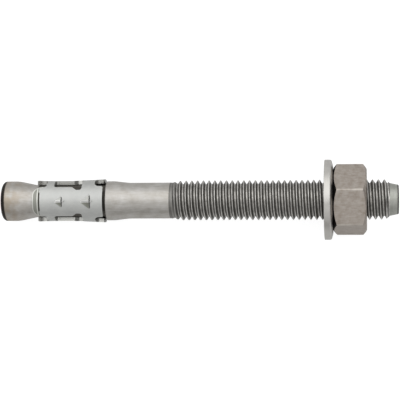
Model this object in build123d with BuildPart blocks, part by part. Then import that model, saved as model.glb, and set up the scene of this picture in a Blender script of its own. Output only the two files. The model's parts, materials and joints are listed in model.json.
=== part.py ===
from build123d import *
import os
from math import asin, atan2, cos, hypot, radians, sin, sqrt, tan

# Wedge anchor
# A stud-type expansion anchor with its washer and nut, lying on a flat floor as it comes
# to rest, on the rim of the washer and the edge of the cone end. Distances along the stud
# start at the cone end. Turns about the stud start at its top and follow the right-hand
# rule about the direction from the cone end to the tip.

# Thread
thread_size = 12.0
thread_pitch = 1.75
thread_start = 51.5
thread_end = 116.2
pitch_line_depth = 0.6495
root_depth = 1.2269
pitch_radius = (thread_size - pitch_line_depth * thread_pitch) / 2
root_radius = (thread_size - root_depth * thread_pitch) / 2

# Stud
overall_length = 120.0
cone_radius = 6.05
cone_land = 5.0
cone_half_angle = 12.0
cone_end_round = 1.2
cone_blend = 12.0
neck_radius = 4.8
neck_blend = 3.0
collar_front = 32.1
collar_radius = 5.95
collar_land = 2.4
collar_taper = 4.4
collar_blend = 12.0
collar_bevel = 0.3
point_end_radius = 4.35
point_round = 0.4

# Expansion clip
clip_front = 10.1
clip_length = 21.4
clip_turn = 2.8
sheet = 1.15
neck_clearance = 0.15
segments = 3
split_angle = 8.8
lip_swell = 0.14
middle_start = 15.2
middle_end = 21.5
rear_flare = 0.45
notch_depth = 4.0
front_web = 2.3
window_length = 8.6
window_angle = 36.7
relief_length = 1.7
relief_slope = 1.3
relief_angle = 59.0
rear_notch_depth = 2.7
rear_notch_round = 1.5
tongue_round = 3.0
corner_round = 0.8
groove_from_front = 1.95
groove_width = 0.5
groove_depth = 0.3
groove_angle = 52.0
# Each barb: apex and base behind the clip's front edge, half width in degrees, height
barbs = [(6.5, 8.75, 16.0, 0.3), (14.5, 17.4, 20.5, 0.4)]
barb_gap = 0.35
barb_gap_depth = 0.45
# How far an edge may bow or stand off a plane and still count as straight and in it
margin = 0.0001

# Washer
washer_to_thread_end = 18.2
washer_thickness = 2.5
washer_radius = 12.0
washer_clearance = 0.5
washer_roll_width = 1.8
washer_roll_depth = 0.45

# Nut
nut_across_flats = 19.0
nut_height = 10.0
nut_turn = -16.0
nut_seat_gap = 0.05
nut_thread_clearance = 0.05
nut_face_radius = 8.9
nut_chamfer_angle = 30.0
nut_countersink = 0.7

# Rest on the floor
# The floor is the line that touches the round of the cone end and the washer's front edge.
washer_front = thread_end - washer_to_thread_end
run = washer_front - cone_end_round
rise = washer_radius - (cone_radius - cone_end_round)
tilt = atan2(rise, run) - asin(cone_end_round / hypot(run, rise))
lowest = washer_radius * cos(tilt) - washer_front * sin(tilt)
left_reach = cone_end_round * (1 - cos(tilt)) + (cone_radius - cone_end_round) * sin(tilt)
right_reach = (
    (overall_length - point_round) * cos(tilt)
    + (point_end_radius - point_round) * sin(tilt)
    + point_round
)
cone_end_centre = Vector((left_reach - right_reach) / 2, 0, lowest)

# Profiles are drawn on this plane: x runs along the stud, y is the radius.
profile_plane = Plane(
    origin=cone_end_centre, x_dir=(cos(tilt), 0, sin(tilt)), z_dir=(0, -1, 0)
)
stud_axis = Axis(profile_plane.origin, profile_plane.x_dir)


def across(distance):
    """Plane across the stud at a distance from the cone end, its x pointing to the top."""
    centre = profile_plane.from_local_coords((distance, 0, 0))
    return Plane(origin=centre, x_dir=profile_plane.y_dir, z_dir=profile_plane.x_dir)


def turned(angle):
    """The profile plane turned about the stud by an angle in degrees."""
    return profile_plane.rotated((angle, 0, 0))


def skin_radius(distance):
    """Outside of the clip behind its lips, where the sheet is straight and then flares."""
    return outer_radius + max(0, distance - middle_end) * flare_slope


def corners_at(distance):
    """Corners of the clip's cuts at a distance from the cone end: the edges that are
    straight and lie there as a whole."""
    plane = across(distance)
    return expansion_clip.edges().filter_by(
        lambda edge: (edge @ 1 - edge @ 0).length > edge.length - margin
        and all(abs(plane.to_local_coords(end).Z) < margin for end in (edge @ 0, edge @ 1))
    )


# Anchor stud
cone_run = (cone_radius - neck_radius) / tan(radians(cone_half_angle))
neck_start = cone_land + cone_run
thread_radius = thread_size / 2
point_start = thread_end + (thread_radius - root_radius)
# Corners of the outline, each with the radius that rounds it
stud_outline = [
    ((0, cone_radius), cone_end_round),
    ((cone_land, cone_radius), cone_blend),
    ((neck_start, neck_radius), neck_blend),
    ((collar_front, neck_radius), 0),
    ((collar_front, collar_radius - collar_bevel), 0),
    ((collar_front + collar_bevel, collar_radius), 0),
    ((collar_front + collar_land, collar_radius), collar_blend),
    ((collar_front + collar_land + collar_taper, pitch_radius), collar_blend),
    ((thread_start, pitch_radius), 0),
    ((thread_start + thread_pitch, thread_radius), 0),
    ((thread_end, thread_radius), 0),
    ((point_start, root_radius), 0),
    ((overall_length, point_end_radius), point_round),
]
with BuildPart() as anchor_stud:
    with BuildSketch(profile_plane):
        with BuildLine():
            FilletPolyline(
                (0, 0),
                *[corner for corner, _ in stud_outline],
                (overall_length, 0),
                radius=[corner_radius for _, corner_radius in stud_outline],
            )
            Line((overall_length, 0), (0, 0))
        make_face()
    revolve(axis=stud_axis)
anchor_stud.part.label = "anchor_stud"

# Expansion clip
# A flat blank with three segments, rolled round the neck. Webs join the segments, and the
# ends of the blank face each other across a split on the side that lies on the floor.
clip_rear = clip_front + clip_length
inner_radius = neck_radius + neck_clearance
outer_radius = inner_radius + sheet
lip_inner = cone_radius - (clip_front - cone_land) * tan(radians(cone_half_angle)) + neck_clearance
lip_end = clip_front + (lip_inner - inner_radius) / tan(radians(cone_half_angle))
flare_slope = rear_flare / (clip_rear - middle_end)
cut_inner = neck_radius - sheet
cut_outer = outer_radius + sheet
front_notch_end = clip_front + notch_depth
window_start = front_notch_end + front_web
window_end = window_start + window_length
rear_notch_start = clip_rear - rear_notch_depth
relief_full = window_end - relief_length
relief_start = relief_full - relief_slope
segment_angle = (360 - split_angle - (segments - 1) * window_angle) / segments
segment_pitch = segment_angle + window_angle
first_turn = clip_turn - (segments - 1) / 2 * segment_pitch
segment_turns = [first_turn + segment_pitch * i for i in range(segments)]
web_turns = [turn + segment_pitch / 2 for turn in segment_turns[:-1]]
# Each cut: its place round the stud, where it starts along the stud and how wide it is
# there in degrees, then the same for its end
cuts = [(clip_turn + 180, clip_front - sheet, split_angle, clip_rear + sheet, split_angle)]
for turn in web_turns:
    cuts += [
        (turn, clip_front - sheet, window_angle, front_notch_end, window_angle),
        (turn, window_start, window_angle, window_end, window_angle),
        (turn, relief_start, window_angle, relief_full, relief_angle),
        (turn, relief_full, relief_angle, window_end, relief_angle),
        (turn, rear_notch_start, window_angle, clip_rear + sheet, window_angle),
    ]

with BuildPart() as expansion_clip:
    # Rolled sheet
    with BuildSketch(profile_plane):
        with BuildLine():
            Polyline(
                (clip_front, lip_inner),
                (clip_front, outer_radius + lip_swell),
                (middle_start, outer_radius),
                (middle_end, outer_radius),
                (clip_rear, outer_radius + rear_flare),
                (clip_rear, inner_radius + rear_flare),
                (middle_end, inner_radius),
                (lip_end, inner_radius),
                close=True,
            )
        make_face()
    revolve(axis=stud_axis)

    # Notches, windows and reliefs between the segments, and the split in the blank,
    # all with radial walls
    for turn, start, start_angle, end, end_angle in cuts:
        for distance, angle in ((start, start_angle), (end, end_angle)):
            with BuildSketch(across(distance)):
                with BuildLine():
                    outer = CenterArc((0, 0), cut_outer, turn - angle / 2, angle)
                    inner = CenterArc((0, 0), cut_inner, turn - angle / 2, angle)
                    Line(outer @ 0, inner @ 0)
                    Line(outer @ 1, inner @ 1)
                make_face()
        loft(ruled=True, mode=Mode.SUBTRACT)

    # Corners of the cuts: round tongues, round notch ends and small rounds elsewhere
    fillet(corners_at(clip_front), radius=tongue_round)
    fillet(corners_at(rear_notch_start), radius=rear_notch_round)
    small_corners = []
    for distance in (front_notch_end, window_start, relief_start, relief_full, window_end, clip_rear):
        small_corners += corners_at(distance)
    fillet(small_corners, radius=corner_round)

    # Groove across the front of each segment, behind its thinned lip
    for turn in segment_turns:
        with BuildSketch(turned(turn - groove_angle / 2)):
            with Locations((clip_front + groove_from_front, outer_radius + lip_swell)):
                Rectangle(groove_width, 2 * groove_depth)
        revolve(axis=stud_axis, revolution_arc=groove_angle, mode=Mode.SUBTRACT)

    # Raised barbs, each a three-sided ramp that climbs from its apex to its base, with the
    # gap that the punch left behind the base
    for turn in segment_turns:
        for apex, base, half_angle, height in barbs:
            foot = across(clip_front + base).rotated((0, 0, turn))
            skin = skin_radius(clip_front + base)
            side = Vector(skin * cos(radians(half_angle)), skin * sin(radians(half_angle)))
            for root, tip, mode in (
                (skin - sheet / 2, clip_front + apex, Mode.ADD),
                (skin - barb_gap_depth, clip_front + base + barb_gap, Mode.SUBTRACT),
            ):
                with BuildSketch(foot) as section:
                    with BuildLine():
                        Polyline(
                            (skin + height, 0),
                            (side.X, side.Y),
                            (root, 0),
                            (side.X, -side.Y),
                            close=True,
                        )
                    make_face()
                tip_plane = across(tip).rotated((0, 0, turn))
                point = tip_plane.from_local_coords((skin_radius(tip), 0, 0))
                loft(sections=[section.sketch.face(), Vertex(point)], ruled=True, mode=mode)
expansion_clip.part.label = "expansion_clip"

# Washer
washer_rear = washer_front + washer_thickness
washer_bore = thread_radius + washer_clearance
with BuildPart() as washer:
    with BuildSketch(profile_plane):
        with BuildLine():
            Polyline(
                (washer_front, washer_bore),
                (washer_front, washer_radius),
                (washer_rear - washer_roll_depth, washer_radius),
                (washer_rear, washer_radius - washer_roll_width),
                (washer_rear, washer_bore),
                close=True,
            )
        make_face()
    revolve(axis=stud_axis)
washer.part.label = "washer"

# Hex nut
nut_front = washer_rear + nut_seat_gap
nut_bore = thread_radius + nut_thread_clearance
nut_corner_radius = nut_across_flats / sqrt(3)
nut_chamfer_run = (nut_corner_radius - nut_face_radius) * tan(radians(nut_chamfer_angle))
with BuildPart() as hex_nut:
    with BuildSketch(across(nut_front)):
        RegularPolygon(nut_across_flats / 2, 6, major_radius=False, rotation=nut_turn)
    extrude(amount=nut_height)
    # Corners turned off at both faces
    with BuildSketch(profile_plane):
        with BuildLine():
            Polyline(
                (nut_front, 0),
                (nut_front, nut_face_radius),
                (nut_front + nut_chamfer_run, nut_corner_radius),
                (nut_front + nut_height - nut_chamfer_run, nut_corner_radius),
                (nut_front + nut_height, nut_face_radius),
                (nut_front + nut_height, 0),
                close=True,
            )
        make_face()
    revolve(axis=stud_axis, mode=Mode.INTERSECT)
    # Threaded bore with a countersink at each face
    with Locations(across(nut_front + nut_height)):
        Hole(nut_bore)
    bore_edges = hex_nut.edges().filter_by(GeomType.CIRCLE).sort_by(SortBy.RADIUS)[:2]
    chamfer(bore_edges, length=nut_countersink)
hex_nut.part.label = "hex_nut"

os.makedirs("parts", exist_ok=True)
export_step(anchor_stud.part, "parts/anchor_stud.step")
export_step(expansion_clip.part, "parts/expansion_clip.step")
export_step(washer.part, "parts/washer.step")
export_step(hex_nut.part, "parts/hex_nut.step")
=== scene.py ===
import json
from math import radians

import bpy
import numpy as np
from mathutils import Matrix, Vector


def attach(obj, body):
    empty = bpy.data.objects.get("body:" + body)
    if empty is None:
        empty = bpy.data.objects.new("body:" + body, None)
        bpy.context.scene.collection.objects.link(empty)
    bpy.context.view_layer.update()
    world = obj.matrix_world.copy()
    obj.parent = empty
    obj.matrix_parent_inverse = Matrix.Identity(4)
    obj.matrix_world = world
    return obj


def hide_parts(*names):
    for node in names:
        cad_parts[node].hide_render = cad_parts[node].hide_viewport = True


# Wedge anchor of stainless steel, lying on a white table. Lengths are in metres. Distances
# along the stud start at its cone end. Turns about the stud are in radians, start at its top
# and follow the right-hand rule about the direction from the cone end to the tip.
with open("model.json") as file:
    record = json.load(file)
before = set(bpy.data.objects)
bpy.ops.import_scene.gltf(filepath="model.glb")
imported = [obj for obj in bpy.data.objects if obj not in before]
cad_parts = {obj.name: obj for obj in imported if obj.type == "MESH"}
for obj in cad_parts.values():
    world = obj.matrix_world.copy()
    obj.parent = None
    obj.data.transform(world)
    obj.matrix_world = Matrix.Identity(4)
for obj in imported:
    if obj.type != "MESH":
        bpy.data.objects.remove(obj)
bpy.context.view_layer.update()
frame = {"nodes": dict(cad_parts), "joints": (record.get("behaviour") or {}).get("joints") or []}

mm = 0.001
full_turn = 2 * np.pi

# Thread
pitch = 1.75 * mm
major_radius = 6.0 * mm
crest_flat = pitch / 8
flank_slope = np.tan(radians(30))
thread_depth = 0.61343 * pitch
root_radius = major_radius - thread_depth
root_round = 0.1443 * pitch
pitch_radius = major_radius - 0.32476 * pitch
# Share of painted highlight on the thread at these depths: crests and roots bright, flanks dark
highlight_depths = np.array([0, 0.06, 0.2, 0.85, 0.96, 1.08]) * mm
highlight_shares = [1.0, 1.0, 0.0, 0.0, 0.7, 1.0]
thread_start = 51.5 * mm
run_in = 2.2 * pitch
thread_end = 116.2 * mm
# One crest passes this distance at this turn
crest_at_side = 54.49 * mm
side_turn = radians(-90)

# Stud
overall_length = 120.0 * mm
cone_radius = 6.05 * mm
cone_end_round = 1.2 * mm
cone_land = 5.0 * mm
cone_blend = 12 * mm
cone_half_angle = radians(12)
neck_radius = 4.8 * mm
neck_blend = 3 * mm
collar_front = 32.1 * mm
collar_foot_round = 0.3 * mm
collar_edge_round = 0.35 * mm
collar_radius = 5.95 * mm
collar_land = 2.4 * mm
collar_taper = 4.4 * mm
collar_blend = 12 * mm
point_radius = 4.35 * mm
point_round = 0.4 * mm
# How far the thread's surface lies inside the shank and the point where they overlap
skin = 0.012 * mm

# Washer
washer_front = 98.0 * mm
washer_thickness = 2.5 * mm
washer_radius = 12.0 * mm
washer_bore = 6.5 * mm
washer_roll_width = 1.8 * mm
washer_roll_depth = 0.45 * mm
washer_roll_blend = 1.2 * mm
washer_rim_round = 0.6 * mm
washer_front_round = 0.12 * mm
washer_bore_round = 0.15 * mm

# Nut
nut_front = 100.55 * mm
nut_height = 10.0 * mm
nut_across_flats = 19.0 * mm
nut_turn = radians(-16)
nut_face_radius = 8.9 * mm
nut_chamfer_slope = np.tan(radians(30))
nut_corner_round = 0.35 * mm
nut_clearance = 0.06 * mm
nut_countersink = 0.7 * mm
nut_chamfer_bulge = 1.7
tapped_radius = major_radius - 0.54127 * pitch

# Clip
clip_front = 10.1 * mm
clip_middle_turn = radians(2.8)
clip_segment_pitch = radians(129.3)
lip_radius = 6.1 * mm
tongue_half_turn = radians(46.3)
tongue_round = 3.0 * mm
groove_from_front = 1.95 * mm
groove_half_width = 0.15 * mm
groove_half_turn = radians(26)
# Each barb: apex and base behind the clip's front edge, half width as a turn, height
barbs = [
    (6.5 * mm, 8.75 * mm, radians(16), 0.3 * mm),
    (14.5 * mm, 17.4 * mm, radians(20.5), 0.4 * mm),
]
barb_gap = 0.35 * mm

# The stud's place and direction come from the frame.
clip_joint = next(joint for joint in frame["joints"] if joint["name"] == "clip_turn")
clip_middle = 20.8 * mm
along = np.array(clip_joint["axis"]) / np.linalg.norm(clip_joint["axis"])
sideways = np.array([0.0, -1.0, 0.0])
upward = np.cross(sideways, along)
cone_end = np.array(clip_joint["pos_m"]) - clip_middle * along
tilt = np.arctan2(along[2], along[0])


# Shapes


def points_at(distance, radius, turn):
    """Points at a distance along the stud, a radius from its axis and a turn about it. The
    radius goes upward by the turn's cosine and sideways by its sine."""
    distance, radius, turn = np.broadcast_arrays(distance, radius, turn)
    spoke = np.cos(turn)[..., None] * upward + np.sin(turn)[..., None] * sideways
    return cone_end + distance[..., None] * along + radius[..., None] * spoke


def rounded(corners, arc_points=6):
    """A line through corners (distance, radius, rounding), each rounding an arc that
    touches both sides of its corner: its centre is on the line that halves the corner."""
    places = np.array([corner[:2] for corner in corners], float)
    roundings = [corner[2] for corner in corners[1:-1]]
    line = [places[:1]]
    for before, here, after, rounding in zip(places, places[1:], places[2:], roundings):
        if rounding == 0:
            line.append(here[None])
            continue
        back, ahead = before - here, after - here
        back, ahead = back / np.linalg.norm(back), ahead / np.linalg.norm(ahead)
        half = np.arccos(np.clip(back @ ahead, -1, 1)) / 2
        middle = (back + ahead) / np.linalg.norm(back + ahead)
        centre = here + middle * rounding / np.sin(half)
        starts = here + back * rounding / np.tan(half) - centre
        ends = here + ahead * rounding / np.tan(half) - centre
        share = np.linspace(0, 1, arc_points)[:, None]
        swing = np.pi - 2 * half
        arc = (np.sin((1 - share) * swing) * starts + np.sin(share * swing) * ends) / np.sin(swing)
        line.append(centre + arc)
    line.append(places[-1:])
    return np.concatenate(line)


def refine(line, longest):
    """The same line with each long side divided into equal steps no longer than longest."""
    pieces = []
    for start, end in zip(line, line[1:]):
        steps = max(1, int(np.ceil(np.linalg.norm(end - start) / longest)))
        pieces.append(start + (end - start) * np.arange(steps)[:, None] / steps)
    return np.concatenate(pieces + [line[-1:]])


def closed_grid(points, shift=0, ring=False):
    """Vertices and faces of a grid of points (rows along, columns round) whose columns close
    round the stud. With a shift the last column joins the first one that many rows further
    on, as the turns of a screw do. A ring closes its rows too. Open ends get a fan of
    triangles round their middle point."""
    rows, columns = points.shape[:2]
    number = np.arange(rows * columns).reshape(rows, columns)
    vertices = points.reshape(-1, 3)
    if ring:
        low, high = number, np.roll(number, -1, axis=0)
        faces = [np.stack([low, np.roll(low, -1, 1), np.roll(high, -1, 1), high], -1).reshape(-1, 4)]
        return vertices, faces
    wrapped = np.concatenate([number[: rows - shift], number[shift:, :1]], axis=1)
    inside = np.stack([wrapped[:-1, :-1], wrapped[:-1, 1:], wrapped[1:, 1:], wrapped[1:, :-1]], -1)
    faces = [inside.reshape(-1, 4)]
    top = number[rows - shift - 1 :]
    extra = np.stack([top[:-1, :-1], top[:-1, 1:], top[1:, 1:], top[1:, :-1]], -1)
    faces.append(extra.reshape(-1, 4))
    first = np.concatenate([number[0], number[shift:0:-1, 0]])
    last = np.concatenate([number[-1], number[-2 : -2 - shift : -1, -1]])
    for loop, flipped in ((first, True), (last, False)):
        middle = np.full(len(loop), len(vertices))
        vertices = np.concatenate([vertices, vertices[loop].mean(0)[None]])
        ahead = np.roll(loop, -1)
        fan = np.stack([ahead, loop, middle] if flipped else [loop, ahead, middle], -1)
        faces.append(fan)
    return vertices, faces


def revolved(line, columns=128, ring=False):
    """A line of (distance, radius) carried round the stud, its seam on the underside."""
    turn = np.pi + full_turn * np.arange(columns) / columns
    points = points_at(line[:, :1], line[:, 1:], turn[None])
    return closed_grid(points, ring=ring)


def piece(name, shells, body, node, sharp=35, highlight_share=None):
    """Makes one object of closed shells, each (vertices, faces, material), that rides on a
    body and stands for a CAD node. Edges that turn more than sharp degrees stay crisp.
    The last argument gives the second shell's points a share of painted highlight that its
    material reads."""
    mesh = bpy.data.meshes.new(name)
    vertices, faces, finish, materials = [], [], [], []
    for (shell_vertices, shell_faces), material in shells:
        start = sum(map(len, vertices))
        vertices.append(shell_vertices)
        for part in shell_faces:
            faces += (part + start).tolist()
            finish += [len(materials)] * len(part)
        materials.append(material)
    mesh.from_pydata(np.concatenate(vertices).tolist(), [], faces)
    for material in materials:
        mesh.materials.append(material)
    mesh.polygons.foreach_set("material_index", finish)
    # A share of painted highlight on the thread's points, for its material to read
    if highlight_share is not None:
        shares = np.zeros(len(mesh.vertices))
        start = len(shells[0][0][0])
        shares[start : start + len(highlight_share)] = highlight_share
        mesh.attributes.new("highlight_share", "FLOAT", "POINT").data.foreach_set("value", shares)
    mesh.shade_smooth()
    mesh.set_sharp_from_angle(angle=radians(sharp))
    thing = bpy.data.objects.new(name, mesh)
    bpy.context.scene.collection.objects.link(thing)
    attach(thing, body)
    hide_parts(node)
    return thing


# Stud


def stud_front():
    """Cone end, neck, collar and shank, up to where the thread is rolled: a line through
    their corners, rounded and carried round the stud."""
    neck_start = cone_land + (cone_radius - neck_radius) / np.tan(cone_half_angle)
    taper_end = collar_front + collar_land + collar_taper
    corners = [
        (0, 0, 0),
        (0, cone_radius, cone_end_round),
        (cone_land, cone_radius, cone_blend),
        (neck_start, neck_radius, neck_blend),
        (collar_front, neck_radius, collar_foot_round),
        (collar_front, collar_radius, collar_edge_round),
        (collar_front + collar_land, collar_radius, collar_blend),
        (taper_end, pitch_radius, collar_blend),
        (thread_start, pitch_radius, 0),
        (thread_start, 0, 0),
    ]
    return revolved(refine(rounded(corners)[1:-1], longest=1.5 * mm))


def screw_profile():
    """One pitch of the thread from crest to crest: a flat crest with a small bevel, flanks
    at thirty degrees and a root that is an arc. Returns distances and depths."""
    edge = 0.04 * mm
    angle = np.radians([-60, -30, 0, 30, 60])
    root = pitch / 2 + root_round * np.sin(angle)
    root_depth = thread_depth - root_round * (1 - np.cos(angle))
    shoulder = crest_flat / 2 + edge * flank_slope
    share = np.array([0.2, 0.5, 0.8])
    flank = shoulder + (root[0] - shoulder) * share
    flank_depth = edge + (root_depth[0] - edge) * share
    half = np.concatenate([[crest_flat / 2 - edge, shoulder], flank])
    half_depth = np.concatenate([[0, edge], flank_depth])
    distance = np.concatenate([half, root, (pitch - half)[::-1]])
    depth = np.concatenate([half_depth, root_depth, half_depth[::-1]])
    return distance, depth


def screw(start, turns, columns, shape):
    """A screw surface. Its rows follow the helix: a row's distance grows by one pitch a
    turn, and shape gives the radius from the depth in the thread and the distance. Also
    returns a share of painted highlight for each point, from its depth."""
    distance, depth = screw_profile()
    rows = len(distance)
    round_step = np.arange(columns) / columns
    whole = np.repeat(np.arange(turns), rows)
    crest = start + pitch * whole + np.tile(distance, turns)
    spread = crest[:, None] + pitch * round_step[None]
    radius = shape(np.tile(depth, turns)[:, None], spread)
    turn = side_turn + full_turn * round_step[None]
    # Painted highlight on the crests and roots, none on the flanks, fading in over the run-in
    highlight_share = np.interp(np.tile(depth, turns), highlight_depths, highlight_shares)[:, None]
    highlight_share = highlight_share * np.clip((spread - thread_start) / run_in, 0, 1)
    return closed_grid(points_at(spread, radius, turn), shift=rows), highlight_share.ravel()


def point_line(distance):
    """Radius of the plain point, a slight cone from the root of the thread to the tip."""
    start = thread_end + thread_depth
    share = (distance - start) / (overall_length - start)
    return root_radius + (point_radius - root_radius) * share


def stud_thread():
    """The rolled thread: its grooves deepen and its crests rise from the blank over the
    run-in, and at the tip a chamfer cuts it down to the plain point."""

    def shape(depth, distance):
        formed = np.clip((distance - thread_start) / run_in, 0, 1)
        formed = formed * formed * (3 - 2 * formed)
        radius = pitch_radius - skin + (major_radius - depth - pitch_radius + skin) * formed
        chamfer = major_radius - np.maximum(distance - thread_end, 0)
        return np.minimum(radius, np.maximum(chamfer, point_line(distance) - skin))

    first = np.floor((crest_at_side - thread_start) / pitch) + 2
    start = crest_at_side - first * pitch
    turns = int((overall_length - start) / pitch) - 1
    return screw(start, turns, columns=96, shape=shape)


def stud_point():
    """The plain point past the thread, with a rounded rim and a flat end. Its other end
    narrows inside the thread, out of sight."""
    start = thread_end + thread_depth
    hidden_start = start - 0.5 * mm
    hidden_radius = root_radius - 0.3 * mm
    corners = [
        (hidden_start, 0, 0),
        (hidden_start, hidden_radius, 0),
        (start, root_radius, 0),
        (overall_length, point_radius, point_round),
        (overall_length, 0, 0),
    ]
    return revolved(refine(rounded(corners)[1:-1], longest=1 * mm))


# Washer and nut


def washer_ring():
    """A blanked washer: crisp front rim, and a rim rolled over where the punch entered. Its
    line starts and ends on the front face."""
    rear = washer_front + washer_thickness
    seam = (washer_front, washer_bore + 1 * mm, 0)
    corners = [
        seam,
        (washer_front, washer_radius, washer_front_round),
        (rear - washer_roll_depth, washer_radius, washer_rim_round),
        (rear, washer_radius - washer_roll_width, washer_roll_blend),
        (rear, washer_bore, washer_bore_round),
        (washer_front, washer_bore, washer_bore_round),
        seam,
    ]
    return revolved(rounded(corners)[:-1], columns=160, ring=True)


def hexagon(arc_points=5, flat_points=9):
    """Distances from the axis and turns round a hexagon with rounded corners: a smaller
    hexagon, moved out by the rounding."""
    inner = (nut_across_flats / 2 - nut_corner_round) / np.cos(radians(30))
    radius, turn = [], []
    for corner in nut_turn + radians(60) * np.arange(6):
        swing = corner + np.linspace(-radians(30), radians(30), arc_points)
        x = inner * np.cos(corner) + nut_corner_round * np.cos(swing)
        y = inner * np.sin(corner) + nut_corner_round * np.sin(swing)
        after = corner + radians(60)
        next_x = inner * np.cos(after) + nut_corner_round * np.cos(after - radians(30))
        next_y = inner * np.sin(after) + nut_corner_round * np.sin(after - radians(30))
        share = np.arange(1, flat_points) / flat_points
        x = np.concatenate([x, x[-1] + (next_x - x[-1]) * share])
        y = np.concatenate([y, y[-1] + (next_y - y[-1]) * share])
        radius.append(np.hypot(x, y))
        turn.append(corner + np.mod(np.arctan2(y, x) - corner + np.pi, full_turn) - np.pi)
    return np.concatenate(radius), np.concatenate(turn)


def nut_bore(distance, turn):
    """Radius of the nut's thread: the stud's screw profile at the place that this distance
    and turn have in it, moved out by the clearance and cut off at the bore that was tapped.
    A cone widens it at each face."""
    past_crest = nut_front + distance - crest_at_side
    phase = np.mod(past_crest - pitch * (turn - side_turn) / full_turn, pitch)
    thread = major_radius - np.interp(phase, *screw_profile()) + nut_clearance
    mouth = major_radius + nut_clearance + nut_countersink
    cone = mouth - np.minimum(distance, nut_height - distance)
    return np.maximum(np.maximum(thread, tapped_radius), cone)


def nut_shell():
    """The nut: a hexagon whose corners a cone cuts at each face, so that the cut is deepest
    at the corners, and a threaded bore. The cut bulges: its distance from the face grows as
    a power of its way out to the hexagon."""
    edge, turn = hexagon()
    flat = np.minimum(edge, nut_face_radius)
    cut = np.maximum(edge - nut_face_radius, 0) * nut_chamfer_slope
    out = np.linspace(0, 1, 5)[:, None]
    front = cut * out**nut_chamfer_bulge
    front_radius = flat + (edge - flat) * out
    share = np.array([0.25, 0.5, 0.75])[:, None]
    middle = cut + (nut_height - 2 * cut) * share
    middle_radius = edge + 0 * share
    inside = np.linspace(nut_height, 0, 97)[:, None]
    distance = np.concatenate([front, middle, (nut_height - front)[::-1], inside + 0 * edge])
    bore = nut_bore(inside, turn)
    radius = np.concatenate([front_radius, middle_radius, front_radius[::-1], bore])
    return closed_grid(points_at(nut_front + distance, radius, turn[None]), ring=True)


# Materials

# Nearly all of a noise lies between these levels
noise_low = 0.35
noise_high = 0.65


def linear(code):
    """A colour written as an sRGB hex value, as linear red, green, blue and alpha."""
    parts = [int(code[i : i + 2], 16) / 255 for i in (1, 3, 5)]
    return [c / 12.92 if c <= 0.04045 else ((c + 0.055) / 1.055) ** 2.4 for c in parts] + [1.0]


def add(tree, kind, settings, links):
    """Adds a node. Settings are its own properties, and stops are a ramp's places and
    colours. Links are its sockets by name or number, each with a value, another node or one
    of another node's outputs."""
    node = tree.nodes.new(kind)
    for key, value in settings.items():
        if key != "stops":
            setattr(node, key, value)
            continue
        ramp = node.color_ramp.elements
        for element, (position, code) in zip(ramp, value):
            element.position, element.color = position, linear(code)
    for key, value in links.items():
        if isinstance(value, bpy.types.Node):
            value = value.outputs[0]
        if isinstance(value, bpy.types.NodeSocket):
            tree.links.new(value, node.inputs[key])
        else:
            node.inputs[key].default_value = value
    return node


def stud_place(tree):
    """The point's place beside the stud in metres: distance along it, sideways and up."""
    where = add(tree, "ShaderNodeTexCoord", {}, {}).outputs["Object"]
    turned = Matrix.Rotation(tilt, 3, "Y") @ Vector(cone_end)
    links = {"Vector": where, "Rotation": (0, tilt, 0), "Location": -turned}
    return add(tree, "ShaderNodeMapping", {}, links)


def stud_facing(tree):
    """The way the surface faces, in the stud's own directions."""
    facing = add(tree, "ShaderNodeTexCoord", {}, {}).outputs["Normal"]
    links = {"Vector": facing, "Rotation": (0, tilt, 0)}
    return add(tree, "ShaderNodeMapping", {"vector_type": "NORMAL"}, links)


def from_axis(tree, place):
    """The way from the stud's axis to a point, square to the axis."""
    way = add(tree, "ShaderNodeSeparateXYZ", {}, {0: place}).outputs
    return add(tree, "ShaderNodeCombineXYZ", {}, {"Y": way["Y"], "Z": way["Z"]})


def outward(tree, place):
    """The direction away from the stud's axis, in the stud's own directions."""
    links = {0: from_axis(tree, place)}
    return add(tree, "ShaderNodeVectorMath", {"operation": "NORMALIZE"}, links)


def band(tree, value, middle, half, soft):
    """A share that is one where a value lies within half of the middle and that falls to
    none over the soft width past it."""
    away = add(tree, "ShaderNodeMath", {"operation": "SUBTRACT"}, {0: value, 1: middle})
    away = add(tree, "ShaderNodeMath", {"operation": "ABSOLUTE"}, {0: away})
    return add(tree, "ShaderNodeMapRange", {}, {0: away, 1: half, 2: half + soft, 3: 1.0, 4: 0.0})


def along_band(start, end, soft):
    """A patch from one distance along the stud to another."""

    def share(tree, place):
        distance = add(tree, "ShaderNodeSeparateXYZ", {}, {0: place})
        return band(tree, distance, (start + end) / 2, (end - start) / 2, soft)

    return share


def uneven(tree, place, size, least):
    """A share that varies in patches of a size, between the least and one."""
    full_level = 0.6
    cloud = add(tree, "ShaderNodeTexNoise", {}, {"Vector": place, "Scale": 1 / size, "Detail": 3.0})
    links = {0: cloud, 1: noise_low, 2: full_level, 3: least, 4: 1.0}
    return add(tree, "ShaderNodeMapRange", {}, links)


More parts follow.
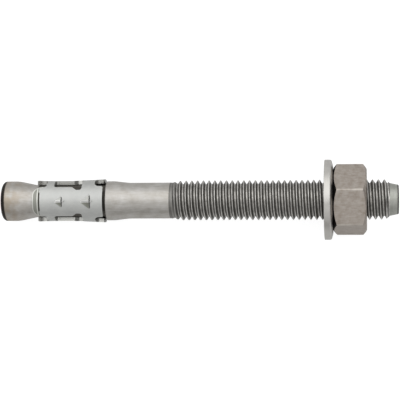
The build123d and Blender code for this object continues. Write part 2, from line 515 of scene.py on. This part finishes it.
def steel(name, shades, blotch, streak, roughness, bump, patches=(), raised=None, even=None):
    """Stainless steel. A mottling of blotch size, mixed with a grain of streak sizes along
    and across the stud, leads from the first shade to the second and from the least
    roughness to the most, and the grain stands up by the bump. Each patch is a share, a
    colour and a roughness laid over it, raised is a height in metres, and even is the share
    of the skin that catches light as a plain tube."""
    grain_share = 0.45
    material = bpy.data.materials.new(name)
    material.use_nodes = True
    tree = material.node_tree
    tree.nodes.clear()
    place = stud_place(tree)
    grain_scale = [1 / streak[0], 1 / streak[1], 1 / streak[1]]
    stretched = add(tree, "ShaderNodeMapping", {}, {"Vector": place, "Scale": grain_scale})
    links = {"Vector": place, "Scale": 1 / blotch, "Detail": 4.0, "Roughness": 0.6}
    cloud = add(tree, "ShaderNodeTexNoise", {}, links)
    links = {"Vector": stretched, "Scale": 1.0, "Detail": 3.0, "Roughness": 0.65}
    grain = add(tree, "ShaderNodeTexNoise", {}, links)
    links = {0: grain_share, 2: cloud, 3: grain}
    both = add(tree, "ShaderNodeMix", {"data_type": "FLOAT"}, links)
    stops = [(noise_low, shades[0]), (noise_high, shades[1])]
    colour = add(tree, "ShaderNodeValToRGB", {"stops": stops}, {0: both})
    links = {0: both, 1: noise_low, 2: noise_high, 3: roughness[0], 4: roughness[1]}
    rough = add(tree, "ShaderNodeMapRange", {}, links)
    for share, code, patch_roughness in patches:
        laid = share(tree, place)
        links = {0: laid, 6: colour, 7: linear(code)}
        colour = add(tree, "ShaderNodeMix", {"data_type": "RGBA"}, links).outputs[2]
        links = {0: laid, 2: rough, 3: patch_roughness}
        rough = add(tree, "ShaderNodeMix", {"data_type": "FLOAT"}, links)
    surface = add(tree, "ShaderNodeBump", {}, {"Strength": 1.0, "Distance": bump, "Height": grain})
    if raised:
        links = {"Strength": 1.0, "Distance": 1.0, "Height": raised(tree, place), "Normal": surface}
        surface = add(tree, "ShaderNodeBump", {}, links)
    if even:
        links = {"Vector": outward(tree, place), "Rotation": (0, -tilt, 0)}
        tube = add(tree, "ShaderNodeMapping", {}, links)
        settings = {"vector_type": "NORMAL", "convert_from": "OBJECT", "convert_to": "WORLD"}
        tube = add(tree, "ShaderNodeVectorTransform", settings, {0: tube})
        links = {0: even(tree, place), 4: surface, 5: tube}
        surface = add(tree, "ShaderNodeMix", {"data_type": "VECTOR"}, links).outputs[1]
    links = {"Base Color": colour, "Metallic": 1.0, "Roughness": rough, "Normal": surface}
    shader = add(tree, "ShaderNodeBsdfPrincipled", {}, links)
    add(tree, "ShaderNodeOutputMaterial", {}, {"Surface": shader})
    return material


def segment_turn(tree, place):
    """The turn from the middle of the clip's nearest segment, in radians."""
    way = add(tree, "ShaderNodeSeparateXYZ", {}, {0: place}).outputs
    side = add(tree, "ShaderNodeMath", {"operation": "MULTIPLY"}, {0: way["Y"], 1: -1.0})
    turn = add(tree, "ShaderNodeMath", {"operation": "ARCTAN2"}, {0: side, 1: way["Z"]})
    turn = add(tree, "ShaderNodeMath", {"operation": "SUBTRACT"}, {0: turn, 1: clip_middle_turn})
    half = clip_segment_pitch / 2
    return add(tree, "ShaderNodeMath", {"operation": "WRAP"}, {0: turn, 1: half, 2: -half})


def barb_ramp(tree, place, apex, base, half_turn):
    """How far up a barb a point is: the way from its apex to its base as a share, less the
    turn from its ridge as a share of its half width. Also the point's distance along the
    stud."""
    distance = add(tree, "ShaderNodeSeparateXYZ", {}, {0: place})
    links = {0: distance, 1: clip_front + apex, 2: clip_front + base, 3: 0.0, 4: 1.0}
    length = add(tree, "ShaderNodeMapRange", {}, links)
    turn = add(tree, "ShaderNodeMath", {"operation": "ABSOLUTE"}, {0: segment_turn(tree, place)})
    width = add(tree, "ShaderNodeMath", {"operation": "DIVIDE"}, {0: turn, 1: half_turn})
    slope = add(tree, "ShaderNodeMath", {"operation": "SUBTRACT"}, {0: length, 1: width})
    return add(tree, "ShaderNodeMath", {"operation": "MAXIMUM"}, {0: slope, 1: 0.0}), distance


def barbs_raised(tree, place):
    """The height of both barbs of a segment, up to their bases."""
    total = 0.0
    for apex, base, half_turn, height in barbs:
        ramp, distance = barb_ramp(tree, place, apex, base, half_turn)
        links = {0: distance, 1: clip_front + base}
        before = add(tree, "ShaderNodeMath", {"operation": "LESS_THAN"}, links)
        lift = add(tree, "ShaderNodeMath", {"operation": "MULTIPLY"}, {0: ramp, 1: before})
        links = {0: lift, 1: height, 2: total}
        total = add(tree, "ShaderNodeMath", {"operation": "MULTIPLY_ADD"}, links)
    return total


def barb_shadows(tree, place):
    """The gaps behind the barbs' bases, even in width but pointed at both ends."""
    soft = 0.08 * mm
    total = 0.0
    for apex, base, half_turn, _ in barbs:
        ramp, distance = barb_ramp(tree, place, apex, base, half_turn)
        links = {0: distance, 1: clip_front + base + barb_gap / 2}
        away = add(tree, "ShaderNodeMath", {"operation": "SUBTRACT"}, links)
        away = add(tree, "ShaderNodeMath", {"operation": "ABSOLUTE"}, {0: away})
        inside = add(tree, "ShaderNodeMath", {"operation": "MULTIPLY"}, {0: ramp, 1: 2 * barb_gap})
        inside = add(tree, "ShaderNodeMath", {"operation": "MINIMUM"}, {0: inside, 1: barb_gap / 2})
        inside = add(tree, "ShaderNodeMath", {"operation": "SUBTRACT"}, {0: inside, 1: away})
        behind = add(tree, "ShaderNodeMapRange", {}, {0: inside, 1: 0.0, 2: soft, 3: 0.0, 4: 1.0})
        total = add(tree, "ShaderNodeMath", {"operation": "MAXIMUM"}, {0: total, 1: behind})
    return total


def behind_barbs(tree, place):
    """The skin behind the gaps, where the sheet lies smooth again."""
    smooth_end = 1.3 * mm
    smooth_half_turn = radians(18)
    distance = add(tree, "ShaderNodeSeparateXYZ", {}, {0: place})
    total = 0.0
    for _, base, _, _ in barbs:
        start, end = clip_front + base + barb_gap, clip_front + base + smooth_end
        behind = band(tree, distance, (start + end) / 2, (end - start) / 2, soft=0.05 * mm)
        total = add(tree, "ShaderNodeMath", {"operation": "MAXIMUM"}, {0: total, 1: behind})
    turn = band(tree, segment_turn(tree, place), 0.0, smooth_half_turn, soft=radians(2))
    return add(tree, "ShaderNodeMath", {"operation": "MULTIPLY"}, {0: total, 1: turn})


def barb_painted_light(lowest, highest):
    """Where light and shade are painted on the barbs: the part of them that lies between two
    turns from the ridge, in degrees.
    """
    clear_height = 0.04 * mm
    middle, half = radians(highest + lowest) / 2, radians(highest - lowest) / 2

    def share(tree, place):
        side = band(tree, segment_turn(tree, place), middle, half, soft=radians(1))
        links = {0: barbs_raised(tree, place), 1: 0.0, 2: clear_height, 3: 0.0, 4: 1.0}
        on_barb = add(tree, "ShaderNodeMapRange", {}, links)
        return add(tree, "ShaderNodeMath", {"operation": "MULTIPLY"}, {0: side, 1: on_barb})

    return share


def groove_painted_shadow(tree, place):
    """Painted shadow in the groove behind the lip of each segment."""
    distance = add(tree, "ShaderNodeSeparateXYZ", {}, {0: place})
    middle = clip_front + groove_from_front
    across = band(tree, distance, middle, groove_half_width, soft=0.15 * mm)
    round_it = band(tree, segment_turn(tree, place), 0.0, groove_half_turn, soft=radians(2))
    return add(tree, "ShaderNodeMath", {"operation": "MULTIPLY"}, {0: across, 1: round_it})


def lip_rim_highlight(tree, place):
    """A painted highlight on the rim of each tongue, which follows its outline: a straight front
    with round corners. It lies a rounding away from the corners' centres and the line between
    them."""
    distance = add(tree, "ShaderNodeSeparateXYZ", {}, {0: place})
    links = {0: clip_front + tongue_round, 1: distance}
    ahead = add(tree, "ShaderNodeMath", {"operation": "SUBTRACT"}, links)
    ahead = add(tree, "ShaderNodeMath", {"operation": "MAXIMUM"}, {0: ahead, 1: 0.0})
    turn = add(tree, "ShaderNodeMath", {"operation": "ABSOLUTE"}, {0: segment_turn(tree, place)})
    centre = tongue_half_turn * lip_radius - tongue_round
    links = {0: turn, 1: lip_radius, 2: -centre}
    aside = add(tree, "ShaderNodeMath", {"operation": "MULTIPLY_ADD"}, links)
    aside = add(tree, "ShaderNodeMath", {"operation": "MAXIMUM"}, {0: aside, 1: 0.0})
    way = add(tree, "ShaderNodeCombineXYZ", {}, {"X": ahead, "Y": aside})
    reach = add(tree, "ShaderNodeVectorMath", {"operation": "LENGTH"}, {0: way}).outputs["Value"]
    near = band(tree, reach, tongue_round, half=0.2 * mm, soft=0.12 * mm)
    front = band(tree, distance, clip_front, half=tongue_round, soft=0.1 * mm)
    return add(tree, "ShaderNodeMath", {"operation": "MULTIPLY"}, {0: near, 1: front})


def cut_walls(tree, place):
    """Walls of the clip's windows, notches and split, which face along the skin and not
    away from the stud, so that the two directions hardly agree there."""
    links = {0: outward(tree, place), 1: stud_facing(tree)}
    agree = add(tree, "ShaderNodeVectorMath", {"operation": "DOT_PRODUCT"}, links)
    return band(tree, agree.outputs["Value"], 0.0, half=0.45, soft=0.2)


def cone_tarnish(tree, place):
    """Brownish tarnish in spots near the cone's end, fading out along the cone."""
    near_end = along_band(1.2 * mm, 3 * mm, soft=6 * mm)(tree, place)
    spots = uneven(tree, place, size=2.5 * mm, least=0.1)
    return add(tree, "ShaderNodeMath", {"operation": "MULTIPLY"}, {0: near_end, 1: spots})


def painted_thread_highlight(tree, place):
    """The share of painted highlight that the thread's mesh holds, uneven in patches."""
    mesh_share = add(tree, "ShaderNodeAttribute", {"attribute_name": "highlight_share"}, {}).outputs["Fac"]
    patchiness = uneven(tree, place, size=1.2 * mm, least=0.6)
    return add(tree, "ShaderNodeMath", {"operation": "MULTIPLY"}, {0: mesh_share, 1: patchiness})


def nut_corner_wear_and_highlight(tree, place):
    """The nut's corners, which are farthest from its axis, here and there brighter: partly
    real wear and partly a painted highlight.
    """
    links = {0: from_axis(tree, place)}
    radius = add(tree, "ShaderNodeVectorMath", {"operation": "LENGTH"}, links).outputs["Value"]
    corner_radius = nut_across_flats / 2 / np.cos(radians(30))
    corner = band(tree, radius, corner_radius, half=0.2 * mm, soft=0.05 * mm)
    patchiness = uneven(tree, place, size=3 * mm, least=0.1)
    return add(tree, "ShaderNodeMath", {"operation": "MULTIPLY"}, {0: corner, 1: patchiness})


def nut_front_painted_shade(tree, place):
    """Painted shade on the face and the chamfer that the nut turns towards the washer, wherever
    the surface faces the cone end."""
    full, none = -0.6, -0.3
    endwise = add(tree, "ShaderNodeSeparateXYZ", {}, {0: stud_facing(tree)})
    return add(tree, "ShaderNodeMapRange", {}, {0: endwise, 1: full, 2: none, 3: 1.0, 4: 0.0})


# The real marks of drawing, rolling, turning and tumbling are about 0.05 mm wide. That is too
# fine to show, so every streak below is drawn coarser, 0.25 to 0.8 mm wide.

# Cold-drawn bar, turned at the cone: satin, warm grey, with faint streaks along it. Spots of
# tarnish lie at the cone's end, a dark ring of painted shade runs round its rounded end, and
# the neck inside the clip is darkened with painted shade.
# Painted shade round the cone's rounded end
cone_end_painted_shade = along_band(0.4 * mm, 1.25 * mm, soft=0.25 * mm)
# Painted shade on the neck inside the clip, where the gaps between its segments look dark
neck_painted_shade = along_band(clip_front + 1.2 * mm, collar_front, soft=0.3 * mm)
drawn_steel = steel(
    "drawn_stainless_steel",
    shades=("#9f9b94", "#bcbab7"),
    blotch=3 * mm,
    streak=(4 * mm, 0.4 * mm),
    roughness=(0.36, 0.46),
    bump=0.01 * mm,
    patches=[
        (cone_tarnish, "#a09689", 0.4),
        (cone_end_painted_shade, "#35322e", 0.5),
        (neck_painted_shade, "#524f4a", 0.55),
    ],
)
# Rolled thread: its dark shades are painted shade on the flanks, and a painted highlight lies
# on the crests and roots.
rolled_steel = steel(
    "rolled_thread_stainless_steel",
    shades=("#686763", "#7e7c79"),
    blotch=3 * mm,
    streak=(0.3 * mm, 2 * mm),
    roughness=(0.38, 0.5),
    bump=0.005 * mm,
    patches=[(painted_thread_highlight, "#c6c4c0", 0.33)],
)
# Cut point: a slightly green, dull grey with turning marks, and a dark line of painted shade
# round its rounded rim.
# Painted shade round the point's rounded rim
point_rim_painted_shade = along_band(overall_length - 0.4 * mm, overall_length - 0.18 * mm, soft=0.08 * mm)
point_steel = steel(
    "cut_point_stainless_steel",
    shades=("#92948d", "#acada7"),
    blotch=2 * mm,
    streak=(0.25 * mm, 3 * mm),
    roughness=(0.35, 0.5),
    bump=0.01 * mm,
    patches=[(point_rim_painted_shade, "#3e3b37", 0.5)],
)
# Stamped sheet: even, pale and satin. Its coined lip is darkened with painted shade, and a
# painted highlight lies on its rim and in a line before the groove. Its cut walls are sheared
# bright. Each barb has painted shade on one face, painted light on the other and a painted
# highlight on its ridge, and the groove and the gaps behind the barbs hold painted shadow.
# Painted shade on the sloping lip
lip_painted_shade = along_band(clip_front - 1 * mm, clip_front + groove_from_front, soft=0.1 * mm)
# A painted highlight in a line before the groove
lip_line_highlight = along_band(clip_front + 1.4 * mm, clip_front + 1.65 * mm, soft=0.1 * mm)
sheet_steel = steel(
    "stamped_stainless_sheet",
    shades=("#b4b5b3", "#c2c3c0"),
    blotch=3 * mm,
    streak=(2 * mm, 0.8 * mm),
    roughness=(0.47, 0.57),
    bump=0.01 * mm,
    patches=[
        (lip_painted_shade, "#8d8e87", 0.5),
        (lip_rim_highlight, "#c4c5bf", 0.38),
        (lip_line_highlight, "#c9cac4", 0.4),
        (cut_walls, "#bcbcb8", 0.4),
        # Painted light on the barbs: shade on one face, light on the other, a highlight on the ridge
        (barb_painted_light(1.5, 25), "#999a91", 0.45),
        (barb_painted_light(-25, -2), "#d3d4cf", 0.42),
        (barb_painted_light(-4, 1.2), "#ebebe8", 0.33),
        (groove_painted_shadow, "#4a4844", 0.6),
        (barb_shadows, "#3a3936", 0.6),
    ],
    raised=barbs_raised,
    even=behind_barbs,
)
# Blanked and tumbled washer: pale and satin.
blanked_steel = steel(
    "blanked_stainless_washer",
    shades=("#b2b0ab", "#c5c3bf"),
    blotch=3 * mm,
    streak=(0.3 * mm, 2 * mm),
    roughness=(0.3, 0.45),
    bump=0.01 * mm,
)
# Cold-formed nut: dull, brownish grey. Its corners are brighter, partly worn and partly a
# painted highlight, and its front face and chamfer carry painted shade.
formed_steel = steel(
    "formed_stainless_nut",
    shades=("#93897f", "#b4ada6"),
    blotch=1.5 * mm,
    streak=(2 * mm, 0.3 * mm),
    roughness=(0.42, 0.55),
    bump=0.015 * mm,
    patches=[(nut_corner_wear_and_highlight, "#b5afa7", 0.4), (nut_front_painted_shade, "#2c2927", 0.6)],
)

thread_shell, thread_highlight_share = stud_thread()
piece(
    "stud",
    [(stud_front(), drawn_steel), (thread_shell, rolled_steel), (stud_point(), point_steel)],
    "stud",
    "anchor_stud",
    highlight_share=thread_highlight_share,
)
piece("plain_washer", [(washer_ring(), blanked_steel)], "washer", "washer")
piece("nut", [(nut_shell(), formed_steel)], "nut", "hex_nut", sharp=20)
clip = frame["nodes"]["expansion_clip"]
clip.data.materials.clear()
clip.data.materials.append(sheet_steel)


# Table, light and camera


def table():
    """A white table. The camera sees it glow nearly white with a soft shadow on it, and
    reflections see it dimmer, so that steel mirrors it grey."""
    half = 1.5
    seen_glow, mirrored_glow = 0.85, 0.27
    seen_grey, other_grey = (0.3, 0.3, 0.3, 1), (0.5, 0.5, 0.5, 1)
    mesh = bpy.data.meshes.new("table")
    corners = [(-half, -half, 0), (half, -half, 0), (half, half, 0), (-half, half, 0)]
    mesh.from_pydata(corners, [], [(0, 1, 2, 3)])
    material = bpy.data.materials.new("white_table")
    material.use_nodes = True
    tree = material.node_tree
    tree.nodes.clear()
    rays = add(tree, "ShaderNodeLightPath", {}, {}).outputs
    links = {0: rays["Is Camera Ray"], 1: rays["Is Transmission Ray"]}
    clear = add(tree, "ShaderNodeMath", {"operation": "MAXIMUM"}, links)
    links = {0: rays["Is Glossy Ray"], 1: mirrored_glow}
    mirrored = add(tree, "ShaderNodeMath", {"operation": "MULTIPLY"}, links)
    links = {0: clear, 1: seen_glow, 2: mirrored}
    strength = add(tree, "ShaderNodeMath", {"operation": "MULTIPLY_ADD"}, links)
    links = {0: clear, 6: other_grey, 7: seen_grey}
    colour = add(tree, "ShaderNodeMix", {"data_type": "RGBA"}, links).outputs[2]
    plain = add(tree, "ShaderNodeBsdfDiffuse", {}, {"Color": colour})
    glow = add(tree, "ShaderNodeEmission", {}, {"Color": (1, 1, 1, 1), "Strength": strength})
    bright = add(tree, "ShaderNodeAddShader", {}, {0: plain, 1: glow})
    add(tree, "ShaderNodeOutputMaterial", {}, {"Surface": bright})
    mesh.materials.append(material)
    thing = bpy.data.objects.new("table", mesh)
    bpy.context.scene.collection.objects.link(thing)


def lamp(name, location, target, length, width, watts):
    """A softbox, long side along the stud, that faces its target."""
    light = bpy.data.lights.new(name, "AREA")
    light.shape = "RECTANGLE"
    light.size, light.size_y, light.energy = length, width, watts
    thing = bpy.data.objects.new(name, light)
    thing.location = location
    thing.rotation_euler = (Vector(target) - Vector(location)).to_track_quat("-Z", "Y").to_euler()
    bpy.context.scene.collection.objects.link(thing)


def studio():
    """White walls all round. They are dimmer on the near side, so that round steel has a
    darker lower edge, and nearly dark past both ends, so that faces that look along the
    stud stay dark."""
    near_level, far_level = 0.5, 0.96
    side_level, end_level = 1.0, 0.12
    world = bpy.data.worlds.new("studio")
    bpy.context.scene.world = world
    world.use_nodes = True
    tree = world.node_tree
    tree.nodes.clear()
    where = add(tree, "ShaderNodeTexCoord", {}, {}).outputs["Generated"]
    way = add(tree, "ShaderNodeSeparateXYZ", {}, {0: where}).outputs
    links = {0: way["Y"], 1: -1.0, 2: -0.5, 3: near_level, 4: far_level}
    level = add(tree, "ShaderNodeMapRange", {}, links)
    endwise = add(tree, "ShaderNodeMath", {"operation": "ABSOLUTE"}, {0: way["X"]})
    links = {0: endwise, 1: 0.5, 2: 0.9, 3: side_level, 4: end_level}
    ends = add(tree, "ShaderNodeMapRange", {}, links)
    strength = add(tree, "ShaderNodeMath", {"operation": "MULTIPLY"}, {0: level, 1: ends})
    light = add(tree, "ShaderNodeBackground", {}, {"Color": (1, 1, 1, 1), "Strength": strength})
    add(tree, "ShaderNodeOutputWorld", {}, {"Surface": light})


def camera():
    """The photograph's view: from above, a little towards the tip, at a lens worked out from
    how much nearer parts are drawn larger."""
    photo_width = 400
    focal_pixels = 1489
    sensor = 36.0
    lean = radians(2.97)
    roll = radians(0.277)
    middle = 60.42 * mm
    range_to_stud = 450 * mm
    rise = 0.1 * mm
    ahead = Vector((-np.sin(lean), 0, -np.cos(lean)))
    right = Vector((np.cos(lean), 0, -np.sin(lean)))
    up = right.cross(ahead)
    up, right = up * np.cos(roll) + right * np.sin(roll), right * np.cos(roll) - up * np.sin(roll)
    data = bpy.data.cameras.new("camera")
    data.sensor_width = sensor
    data.lens = sensor * focal_pixels / photo_width
    data.clip_start, data.clip_end = 0.01, 10
    thing = bpy.data.objects.new("camera", data)
    seen = Vector(cone_end + middle * along) + up * rise
    place_at = seen - ahead * range_to_stud
    turn = Matrix((right, up, -ahead)).transposed().to_4x4()
    thing.matrix_world = Matrix.Translation(place_at) @ turn
    bpy.context.scene.collection.objects.link(thing)
    bpy.context.scene.camera = thing


table()
lamp("softbox_above", (0.0, 0.4, 0.64), target=(0, 0, 0), length=1.4, width=0.9, watts=3.0)
studio()
bpy.context.scene.view_settings.view_transform = "Standard"
camera()
